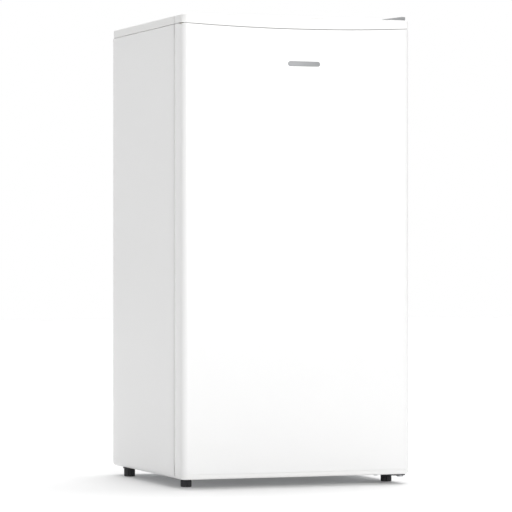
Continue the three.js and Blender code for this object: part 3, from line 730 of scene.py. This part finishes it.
# normals must look into the compartment
c = Vector((0, 0, 0.5))
big = max(bm.faces, key=lambda q: q.calc_area())
if big.normal.dot(c - big.calc_center_median()) < 0:
    bmesh.ops.reverse_faces(bm, faces=bm.faces)
me = bpy.data.meshes.new("inner_liner_shell")
bm.to_mesh(me)
bm.free()
me.shade_smooth()
me.set_sharp_from_angle(angle=math.radians(40))
me.materials.append(MAT["liner_plastic"])
liner = bpy.data.objects.new("inner_liner_shell", me)
bpy.context.scene.collection.objects.link(liner)
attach(liner, "cabinet")
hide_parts("inner_liner")
m = liner.modifiers.new("wall", "SOLIDIFY")
m.thickness = 1.2 * MM
m.offset = -1
# flat flange of the liner behind the sheet edges, closing the corners of the door opening
v, f = loft([frame_ring(196, 44, 806, 0.6, -164.85), frame_ring(187.4, 53.6, 798.4, 13.0, -164.85),
             frame_ring(187.4, 53.6, 798.4, 13.0, -164.3), frame_ring(196, 44, 806, 0.6, -164.3)], closed=True)
make("inner_liner_flange", v, f, "liner_plastic", "cabinet", (), "liner_plastic")
# shelf ledges, moulded with soft noses
parts = []
for z in LEDGES:
    for s in (-1, 1):
        a, b = sorted((s * 177.0, s * 185.6))
        parts.append(rbox(a, b, -75, 143.5, z - 6.0, z - 0.3, 1.6, 3.0))
v, f = merge(*parts)
make("inner_liner_ledges", v, f, "liner_plastic", "cabinet", (), "liner_plastic")
# condensate gutter above the step, with the drain mouth
parts = [rbox(-150, 150, 139.0, 145.2, 300.0, 304.5, 1.2, 2.0), rbox(-150, 150, 138.2, 139.8, 300.0, 308.0, 0.6, 0.7)]
v, f = merge(*parts)
make("drain_gutter", v, f, "liner_plastic", "cabinet", (), "liner_plastic")
v, f = lathe([(5.0, 0.1), (11.0, 0.1), (11.4, 0.5), (10.8, 1.3), (7.0, 0.9), (5.2, 0.4)], COMP_X, 120, 32, "Z", STEP_Z)
make("drain_mouth", v, f, "black_plastic", "cabinet", (), "black_plastic")

# ------------------------------------------------------------------ interior fittings
for name, z in SHELVES.items():
    v, f = rbox(-183, 183, -77.5, 140, z, z + 4, 0.8, 3.0)
    make(name + "_pane", v, f, "shelf_glass", "cabinet", [name + "_glass"], "shelf_glass")
    # nosing gripping the front edge of the pane
    sec = [(-86, z + 1.5), (-85.4, z - 0.8), (-84, z - 2.4), (-81.8, z - 3.0), (-78.0, z - 3.0), (-77.3, z - 2.4), (-77.3, z - 0.35),
           (-77.75, z - 0.1), (-77.75, z + 4.1), (-77.3, z + 4.35), (-77.3, z + 5.4), (-78.0, z + 6.0), (-81.8, z + 6.0), (-84, z + 5.4), (-85.4, z + 3.8)]
    rings = [[(x, y * k[0] + (1 - k[0]) * -81.5, (zz - z - 1.5) * k[0] + z + 1.5) for y, zz in sec]
             for x, k in ((-183, (0.86,)), (-182.4, (1.0,)), (182.4, (1.0,)), (183, (0.86,)))]
    v, f = loft(rings)
    make(name + "_nosing", v, f, "white_plastic", "cabinet", [name + "_trim"], "white_plastic", angle=38)
    # rear stop strip
    v, f = rbox(-183, 183, 138.2, 141.6, z - 0.6, z + 9.5, 0.8, 1.4)
    make(name + "_rear_stop", v, f, "white_plastic", "cabinet", (), "white_plastic")

v, f = bin_mesh(-174, 174, -88, 21, 57, 244, [9, 9, 5, 5], 2.4, 1.8)
make("crisper_bin", v, f, "clear_plastic", "crisper", ["crisper_drawer"], "clear_plastic", angle=50)
v, f = rbox(-70, 70, -95, -87.6, 226, 234, 2.4, 3.2)
make("crisper_pull", v, f, "white_plastic", "crisper", (), "white_plastic")

parts = [rbox(160, 184.7, -30, 96, 690, 772, 5.0, 6.0, 6, 5)]
v, f = merge(*parts)
hous = make("thermostat_case", v, f, "white_plastic", "cabinet", ["thermostat_housing"], "white_plastic")
cut = rbox(150, 180, 22.2, 87.8, 700.2, 761.8, 2.0, 4.0)
boolean(hous, [cut])
# dial marks round the knob, growing from low to high
parts = []
for k in range(8):
    a = math.radians(-135 + 270 * k / 7)
    r0, r1, w2 = 19.5, 21.5 + k * 0.35, 0.6
    d = Vector((0, math.sin(a), math.cos(a)))
    t = Vector((0, math.cos(a), -math.sin(a)))
    c0 = Vector((0, -4, 731))
    p = [c0 + d * r0 - t * w2, c0 + d * r0 + t * w2, c0 + d * r1 + t * w2, c0 + d * r1 - t * w2]
    parts.append(loft([[(160.2, q.y, q.z) for q in p], [(159.8, q.y, q.z) for q in p]]))
v, f = merge(*parts)
make("thermostat_marks", v, f, "grey_plastic", "cabinet", (), "grey_plastic", angle=20)
# knurled dial turned about X, with a raised grip bar
kv = []
for k, (r, h) in enumerate([(0.01, 159.6), (14.6, 159.6), (15.8, 158.8), (16.0, 157.6), (15.2, 151.2), (14.2, 149.9), (12.8, 149.6), (0.01, 149.6)]):
    ring = []
    for i in range(72):
        a = 2 * math.pi * i / 72
        rr = r - (0.5 * (0.5 - 0.5 * math.cos(a * 24)) if 2 <= k <= 4 else 0)
        ring.append((h, -4 + rr * math.cos(a), 731 + rr * math.sin(a)))
    kv.append(ring)
grip = [[(x, y, z) for y, z in outline(-6.6, -1.4, 718.5, 743.5, 2.4, i, 5)] for x, i in ((150.5, 0.0), (146.4, 0.2), (145.2, 0.7), (144.6, 1.6))]
v, f = merge(loft(kv), loft(grip))
make("thermostat_dial", v, f, "white_plastic", "knob", ["thermostat_knob"], "white_plastic", angle=38)
ptr = [[(x, y, z) for y, z in outline(-4.8, -3.2, 733, 742.5, 0.7, i, 4)] for x, i in ((144.9, 0.0), (144.45, 0.05), (144.35, 0.25))]
v, f = loft(ptr)
make("thermostat_pointer", v, f, "grey_plastic", "knob", (), "grey_plastic")
# ribbed lamp diffuser
parts = [rbox(153.6, 159.8, 20, 90, 698, 764, 2.4, 2.6, 5, 4)]
for i in range(9):
    y = 27 + i * 7
    parts.append(rbox(153.0, 155.0, y - 1.4, y + 1.4, 702, 760, 0.6, 0.9))
v, f = merge(*parts)
lc = make("lamp_diffuser", v, f, "diffuser", "cabinet", ["lamp_cover"], "diffuser")
v, f = lathe([(0, 28), (5, 28), (5, 40), (6.2, 44), (8.2, 50), (8.6, 55), (7.6, 62), (5.4, 67), (2.6, 70), (0, 71)], 171, 0, 28, "Y", 731)
make("lamp_envelope", v, f, "diffuser", "cabinet", ["lamp_bulb"], "diffuser")

# ------------------------------------------------------------------ hinges
# Top hinge cap: its mid-grey colour is painted shade, standing for the shaded sloped left face of the cap at the
# worktop's right front corner
sec = [(172, 848.3), (213.8, 848.3), (214.3, 848.8), (214.3, 853.8), (213.9, 854.6), (213.1, 855.0), (207.6, 855.0), (206.2, 854.85),
       (172.6, 849.8), (172, 849.3)]
rings = []
for y, k in ((-206.0, 1.4), (-205.4, 0.5), (-204.4, 0.0), (-119.6, 0.0), (-118.6, 0.5), (-118.0, 1.4)):
    ring = []
    for x, z in sec:
        ring.append((min(max(x, 172 + k), 214.3 - k), y, 848.3 + (z - 848.3) * (1 - k / 6.7)))
    rings.append(ring)
v, f = loft(rings)
make("top_hinge_cap", v, f, "grey_plastic", "cabinet", ["top_hinge_cover"], "grey_plastic", angle=38)
rings = []
for inset, z in ((0.4, 848.3), (0.0, 848.6), (0.0, 850.2), (0.4, 850.5)):
    rings.append([(x, y, z) for x, y in outline(190, 212.4, -200.5, -124, 4, inset, 5)])
v, f = loft(rings)
br = make("top_hinge_plate", v, f, "plate_black", "cabinet", ["top_hinge_bracket"], "hinge_steel")
boolean(br, [lathe([(4.35, 840), (4.35, 860)], HINGE_X, HINGE_Y, 32)])
pts = [(168, -160), (190, -204), (216, -204), (216, -112), (168, -112)]


def poly_round(points, radii, n=5, inset=0.0):
    out = []
    m = len(points)
    cx = sum(p[0] for p in points) / m
    cy = sum(p[1] for p in points) / m
    for i in range(m):
        p = Vector(points[i])
        a = (Vector(points[i - 1]) - p).normalized()
        b = (Vector(points[(i + 1) % m]) - p).normalized()
        half = a.angle(b) / 2
        r = radii[i]
        t = r / math.tan(half)
        c = p + (a + b).normalized() * (r / math.sin(half))
        p0, p1 = p + a * t - c, p + b * t - c
        a0 = math.atan2(p0.y, p0.x)
        d = math.atan2(p1.y, p1.x) - a0
        while d > math.pi:
            d -= 2 * math.pi
        while d < -math.pi:
            d += 2 * math.pi
        for k in range(n + 1):
            q = a0 + d * k / n
            x, y = c.x + r * math.cos(q), c.y + r * math.sin(q)
            v2 = Vector((cx - x, cy - y)).normalized() * inset
            out.append((x + v2.x, y + v2.y))
    return out


rings = []
for inset, z in ((0.5, 15.2), (0.0, 15.6), (0.0, 17.3), (0.5, 17.7)):
    rings.append([(x, y, z) for x, y in poly_round(pts, [6, 6, 5, 4, 4], 5, inset)])
v, f = loft(rings)
bb = make("bottom_hinge_plate", v, f, "plate_black", "cabinet", ["bottom_hinge_bracket"], "hinge_steel")
boolean(bb, [lathe([(4.35, 0), (4.35, 30)], HINGE_X, HINGE_Y, 32), lathe([(4.7, 0), (4.7, 30)], 204, -138, 32)])
v, f = lathe([(0, 12.6), (5.6, 12.6), (6.4, 13.2), (6.5, 14.0), (6.3, 14.9), (4.0, 14.9), (4.0, 23.9), (3.3, 24.6), (0, 24.6)], HINGE_X, HINGE_Y, 32)
make("bottom_hinge_pivot", v, f, "pin_steel", "cabinet", ["bottom_hinge_pin"], "zinc_steel")
v, f = lathe([(0, 837), (3.3, 837), (4.0, 837.8), (4.0, 851.4), (3.4, 852), (0, 852)], HINGE_X, HINGE_Y, 32)
make("top_hinge_pivot", v, f, "pin_steel", "cabinet", ["top_hinge_pin"], "zinc_steel")
for nm, y in (("front", -150), ("rear", -122)):
    v, f = lathe([(0, 12.5), (2.0, 12.25), (3.4, 12.5), (4.3, 13.4), (4.4, 14.2), (4.4, 14.9), (0, 14.9)], 178, y, 24)
    o = make("bottom_hinge_bolt_" + nm, v, f, "pin_steel", "cabinet", ["bottom_hinge_screw_" + nm], "zinc_steel")
    boolean(o, [rbox(178 - 2.6, 178 + 2.6, y - 0.55, y + 0.55, 11.5, 13.6, 0.2), rbox(178 - 0.55, 178 + 0.55, y - 2.6, y + 2.6, 11.5, 13.6, 0.2)])

# ------------------------------------------------------------------ feet: knurled discs on threaded studs
def foot(x, y, r, h, thread):
    prof = [(0, 0), (r - 1.6, 0), (r - 0.5, 0.5), (r, 1.8), (r, h - 2.0), (r - 0.5, h - 0.8), (r - 1.6, h)]
    parts = [lathe(prof + [(0, h)], x, y, 120, "Z", 0.0, (11, 1.7, 3, 5))]
    if thread:
        z = h - 0.2
        pr = [(0, z)]
        while z < 32.4:
            pr += [(3.5, z), (4.0, z + 0.35), (3.5, z + 0.7)]
            z += 0.7
        pr += [(3.0, z + 0.3), (0, z + 0.3)]
        parts.append(lathe(pr, x, y, 20))
    return merge(*parts)


for nm, x in (("left", -187.0), ("right", 204.0)):
    v, f = foot(x, -138.0, 10.2, 13.0, True)
    make("levelling_foot_" + nm, v, f, "foot_plastic", "foot_" + nm, ["front_foot_" + nm], "foot_plastic", angle=50)
for nm, x in (("left", -204.0), ("right", 204.0)):
    v, f = foot(x, 145.0, 10.6, 15.4, False)
    v2, f2 = lathe([(0, 15.2), (12.1, 15.2), (12.5, 15.6), (12.5, 17.4), (12.1, 17.7), (0, 17.7)], x, 145.0, 48)
    v, f = merge((v, f), (v2, f2))
    make("fixed_foot_" + nm, v, f, "foot_plastic", "cabinet", ["rear_foot_" + nm], "foot_plastic", angle=50)

# ------------------------------------------------------------------ compressor bay
sec = [(60, 18.3), (60.3, 18), (196.7, 18), (197, 18.3), (197, 31.6), (196.6, 32), (195.9, 32), (195.5, 31.6), (195.5, 19.9), (195.1, 19.5),
       (61.9, 19.5), (61.5, 19.9), (61.5, 31.6), (61.1, 32), (60.4, 32), (60, 31.6)]
v, f = loft([[(x, y, z) for y, z in sec] for x in (-214.4, 214.4)])
tray = make("compressor_crossrail", v, f, "zinc_steel", "cabinet", ["compressor_tray"], "zinc_steel")
boolean(tray, [lathe([(4.4, 190), (4.4, 200)], -170, 0, 24, "Y", 26.2), lathe([(9, 10), (9, 25)], -60, 130, 32), lathe([(9, 10), (9, 25)], -120, 130, 32),
               lathe([(9, 10), (9, 25)], 180, 130, 32)])
v, f = lathe([(2.7, -5), (5.8, -5), (6.2, -4.6), (6.2, -1.3), (3.9, -1.1), (3.9, 1.1), (6.2, 1.3), (6.2, 3.2), (4.8, 4.8), (4.2, 5), (2.7, 5), (2.5, 4.4), (2.5, -4.4), (2.7, -5)], -170, 196.25, 32, "Y", 26.2)
v, f = loft([[(x, y, z) for x, y, z in v[i * 32:(i + 1) * 32]] for i in range(13)], closed=True)
make("cable_gland_ring", v, f, "black_plastic", "cabinet", ["power_cable_gland"], "black_plastic")

pot = [(0, 37), (14, 37.1), (26, 37.8), (36, 40.2), (44, 45.5), (48.5, 51.5), (50.6, 59), (51.4, 70), (51.8, 94.5), (53.0, 95.6), (55.4, 96.4), (56, 97.4), (56, 101.6),
       (55.4, 102.6), (53.2, 103.2), (51.8, 104.4), (51.5, 116), (50.8, 129), (48.8, 139), (44.5, 149), (37, 156.2), (27, 161), (14, 163.5), (0, 164)]
plate = []
for inset, z in ((0.5, 33.3), (0.0, 33.8), (0.0, 36.2), (0.5, 36.7)):
    plate.append([(COMP_X + x, COMP_Y + y, z) for x, y in outline(-86, 86, -48, 48, 12, inset, 6)])
v, f = merge(lathe(pot, COMP_X, COMP_Y, 64))
make("compressor_shell", v, f, "black_paint", "cabinet", ["compressor"], "black_paint", angle=30)
o = make("compressor_foot_plate", *loft(plate), "black_paint", "cabinet", (), "black_paint")
boolean(o, [rbox(COMP_X - 58, COMP_X + 58, COMP_Y - 70, COMP_Y - 40, 25, 45, 1, 8), rbox(COMP_X - 58, COMP_X + 58, COMP_Y + 40, COMP_Y + 70, 25, 45, 1, 8)])
for nm, z, r in (("discharge", 66, 3.6), ("suction", 120, 4.2)):
    v, f = tube([(COMP_X + 44, COMP_Y, z), (COMP_X + 52, COMP_Y, z), (COMP_X + 53, COMP_Y, z), (COMP_X + 56, COMP_Y, z)], r, 20, [r + 1.4, r + 1.2, r, r])
    make("compressor_stub_" + nm, v, f, "copper", "cabinet", (), "copper")
i = 0
for dx, dy in ((-76, -38), (76, -38), (76, 38), (-76, 38)):
    i += 1
    x, y = COMP_X + dx, COMP_Y + dy
    rings = [(3.6, 19.8), (8.4, 19.8), (9, 20.4), (9, 23.4), (8.2, 24.4), (7.4, 25.2), (7.4, 26.8), (8.2, 27.6), (9, 28.6), (9, 32.4), (8.4, 33.0), (3.6, 33.0)]
    v, f = lathe(rings, x, y, 32)
    v, f = loft([v[k * 32:(k + 1) * 32] for k in range(len(rings))], closed=True)
    make(f"grommet_{i}", v, f, "rubber", "cabinet", [f"compressor_grommet_{i}"], "rubber")
    hexa = loft([[(x + 5.4 * (1 - c) * math.cos(math.radians(60 * k)), y + 5.4 * (1 - c) * math.sin(math.radians(60 * k)), z) for k in range(6)]
                 for c, z in ((0.0, 38.4), (0.0, 41.6), (0.12, 42.4))])
    v, f = merge(lathe([(0, 19.7), (3.0, 19.7), (3.0, 43.6), (2.4, 44.4), (0, 44.4)], x, y, 16), lathe([(0, 36.8), (7.6, 36.8), (7.6, 38.0), (7.2, 38.4), (0, 38.4)], x, y, 24), hexa)
    make(f"compressor_bolt_{i}", v, f, "pin_steel", "cabinet", (), "zinc_steel")
parts = [rbox(COMP_X - 84, COMP_X - 56.6, COMP_Y - 24, COMP_Y + 24, 66, 124, 2.2, 3.0, 4, 3),
         rbox(COMP_X - 85.2, COMP_X - 83.6, COMP_Y - 16, COMP_Y + 16, 74, 116, 0.6, 2.0),
         rbox(COMP_X - 78, COMP_X - 62, COMP_Y + 23.4, COMP_Y + 26.0, 88, 100, 0.8, 1.0)]
v, f = merge(*parts)
make("terminal_cover", v, f, "black_plastic", "cabinet", ["terminal_box"], "black_plastic")
v, f = bin_mesh(COMP_X - 70, COMP_X + 70, COMP_Y - 46, COMP_Y + 46, 170, 190, 12, 1.8, 1.2)
make("drip_tray", v, f, "black_plastic", "cabinet", ["drip_pan"], "black_plastic", angle=50)
rg = [(4.6, 196), (5.7, 196), (6.0, 196.5), (6.0, 249.6), (4.6, 249.6)]
v, f = lathe(rg, COMP_X, 120, 28)
v, f = loft([v[k * 28:(k + 1) * 28] for k in range(len(rg))], closed=True)
make("drain_pipe", v, f, "white_plastic", "cabinet", ["drain_tube"], "white_plastic")

# ------------------------------------------------------------------ refrigerant circuit
serp = [(188.0, COND_Y, COND_Z0)]
for i in range(RUNS):
    z = COND_Z0 + i * PITCH
    s = -1 if i % 2 else 1
    if i > 0:
        serp.append((s * COND_X, COND_Y, z))
    serp.append((-s * COND_X, COND_Y, z))
serp[-1] = (-188.0, COND_Y, COND_Z0 + (RUNS - 1) * PITCH)
parts = [tube(bent(serp, PITCH / 2 - 0.5, 10), 2.55, 12)]
z0, z1 = COND_Z0 - 9, COND_Z0 + (RUNS - 1) * PITCH + 9
wires = 34
for i in range(wires):
    x = -152 + 304 * i / (wires - 1)
    for y in (COND_Y - 3.1, COND_Y + 3.1):
        parts.append(tube([(x, y, z0), (x, y, (z0 + z1) / 2), (x, y, z1)], 0.72, 6))
v, f = merge(*parts)
make("condenser_grid", v, f, "black_paint", "cabinet", ["condenser"], "black_paint", angle=60)
for nm, s in (("left", -1), ("right", 1)):
    a, b = sorted((s * 183.0, s * 195.0))
    v, f = rbox(a, b, 187.7, 204.8, 486, 530, 1.4, 1.6)
    make("condenser_holder_" + nm, v, f, "black_plastic", "cabinet", ["condenser_clip_" + nm], "black_plastic")
top_z = COND_Z0 + (RUNS - 1) * PITCH
v, f = tube(bent([(COMP_X + 56.4, COMP_Y, 66), (160, COMP_Y, 66), (160, COND_Y, 66), (-204, COND_Y, 66), (-204, COND_Y, top_z), (-188.4, COND_Y, top_z)], 12, 8), 2.4, 14)
make("discharge_line", v, f, "copper", "cabinet", ["discharge_tube"], "copper", angle=60)
v, f = lathe([(0, 144), (1.6, 144), (2.2, 144.8), (2.3, 151), (4.2, 153.4), (6.0, 156.4), (6.5, 160), (6.5, 220), (6.0, 223), (3.8, 226.4), (2.5, 229), (2.5, 239.4), (1.8, 240), (0, 240)], 202, COND_Y, 32)
make("drier_cartridge", v, f, "copper", "cabinet", ["filter_drier"], "copper")
v, f = tube(bent([(188.4, COND_Y, COND_Z0), (202, COND_Y, COND_Z0), (202, COND_Y, 240.4)], 10, 8), 2.4, 14)
make("liquid_line", v, f, "copper", "cabinet", ["liquid_tube"], "copper", angle=60)
coil = [(202, COND_Y, 143.6), (202, COND_Y, 136), (201, 205, 128), (196, 195, 120)]
for i in range(61):
    a = 2 * math.pi * i / 30 + math.pi / 3
    coil.append((176 + 14 * math.cos(a), 168 + 14 * math.sin(a), 112 + i * 0.28))
coil += [(166, 160, 134), (162.6, 154, 144), (162, 152, 156), (162, 152, 218), (162, 152, 418)]
v, f = tube(coil, 1.1, 10)
make("capillary_line", v, f, "copper", "cabinet", ["capillary_tube"], "copper", angle=60)
v, f = tube(bent([(COMP_X + 56.4, COMP_Y, 120), (150, COMP_Y, 120), (150, 152, 120), (150, 152, 418)], 9, 8), 3.0, 14)
make("suction_line", v, f, "copper", "cabinet", ["suction_tube"], "copper", angle=60)

# ------------------------------------------------------------------ studio
def stage_plane():
    me = bpy.data.meshes.new("floor")
    s = 14.0
    me.from_pydata([(-s, -s, 0), (s, -s, 0), (s, s, 0), (-s, s, 0)], [], [(0, 1, 2, 3)])
    o = bpy.data.objects.new("floor", me)
    bpy.context.scene.collection.objects.link(o)
    m, nt, b = new_mat("floor")
    v = coords(nt)
    nt.links.new(two_tone(nt, ramp(nt, noise(nt, v, 1.5, 3.0), 0, 1), (0.795, 0.795, 0.795), (0.81, 0.81, 0.81)), b.inputs["Base Color"])
    b.inputs["Emission Color"].default_value = (1, 1, 1, 1)
    b.inputs["Emission Strength"].default_value = 0.11
    b.inputs["Roughness"].default_value = 0.7
    b.inputs["Specular IOR Level"].default_value = 0.2
    me.materials.append(m)
    return o


stage_plane()
world = bpy.data.worlds.new("studio")
bpy.context.scene.world = world
world.use_nodes = True
wn = world.node_tree
bg = wn.nodes["Background"]
tc = wn.nodes.new("ShaderNodeTexCoord")
sp = wn.nodes.new("ShaderNodeSeparateXYZ")
wn.links.new(tc.outputs["Generated"], sp.inputs["Vector"])


def smooth(sock, a, b, lo, hi):
    r = wn.nodes.new("ShaderNodeMapRange")
    r.interpolation_type = "SMOOTHSTEP"
    for k, v in (("From Min", a), ("From Max", b), ("To Min", lo), ("To Max", hi)):
        r.inputs[k].default_value = v
    wn.links.new(sock, r.inputs["Value"])
    return r.outputs["Result"]


def wmath(op, a, b):
    n = wn.nodes.new("ShaderNodeMath")
    n.operation = op
    for i, q in enumerate((a, b)):
        if isinstance(q, (int, float)):
            n.inputs[i].default_value = q
        else:
            wn.links.new(q, n.inputs[i])
    return n.outputs[0]


# softbox walls: bright behind the object, dimmer to its left and in front
behind = wmath("MULTIPLY", smooth(sp.outputs["Y"], 0.1, 0.8, 0, 1), smooth(sp.outputs["X"], -0.30, 0.12, 0, 1))
side = wmath("ADD", smooth(sp.outputs["X"], -1.0, 0.6, 0.22, 0.12), smooth(sp.outputs["Y"], -0.7, 0.2, 0.14, 0.72))
level = wmath("ADD", side, wmath("MULTIPLY", behind, wmath("SUBTRACT", 1.0, side)))
# a dark gap between the left and the front softbox, low down
dark = wmath("MULTIPLY", smooth(wmath("ABSOLUTE", sp.outputs["X"], 0.0), 0.55, 0.95, 0, 1), smooth(sp.outputs["Z"], 0.12, 0.40, 1, 0))
level = wmath("MULTIPLY", level, wmath("SUBTRACT", 1.0, wmath("MULTIPLY", dark, 0.88)))
wn.links.new(level, bg.inputs["Strength"])
bg.inputs["Color"].default_value = (1, 1, 1, 1)


def area(name, loc, target, size, power, sy=None):
    d = bpy.data.lights.new(name, "AREA")
    d.energy = power
    d.shape = "RECTANGLE"
    d.size = size
    d.size_y = sy or size
    o = bpy.data.objects.new(name, d)
    bpy.context.scene.collection.objects.link(o)
    o.location = loc
    o.rotation_mode = "QUATERNION"
    o.rotation_quaternion = (Vector(target) - Vector(loc)).to_track_quat("-Z", "Y")
    return o


sd = bpy.data.lights.new("overhead", "SUN")
sd.energy = 1.6
sd.angle = math.radians(42)
so = bpy.data.objects.new("overhead", sd)
bpy.context.scene.collection.objects.link(so)
so.rotation_mode = "QUATERNION"
so.rotation_quaternion = Vector((-0.20, -0.20, -1.0)).to_track_quat("-Z", "Y")
area("key", (0.5, -4.1, 1.35), (0, 0, 0.5), 2.6, 88, 1.6)
bpy.context.scene.view_settings.view_transform = "Standard"
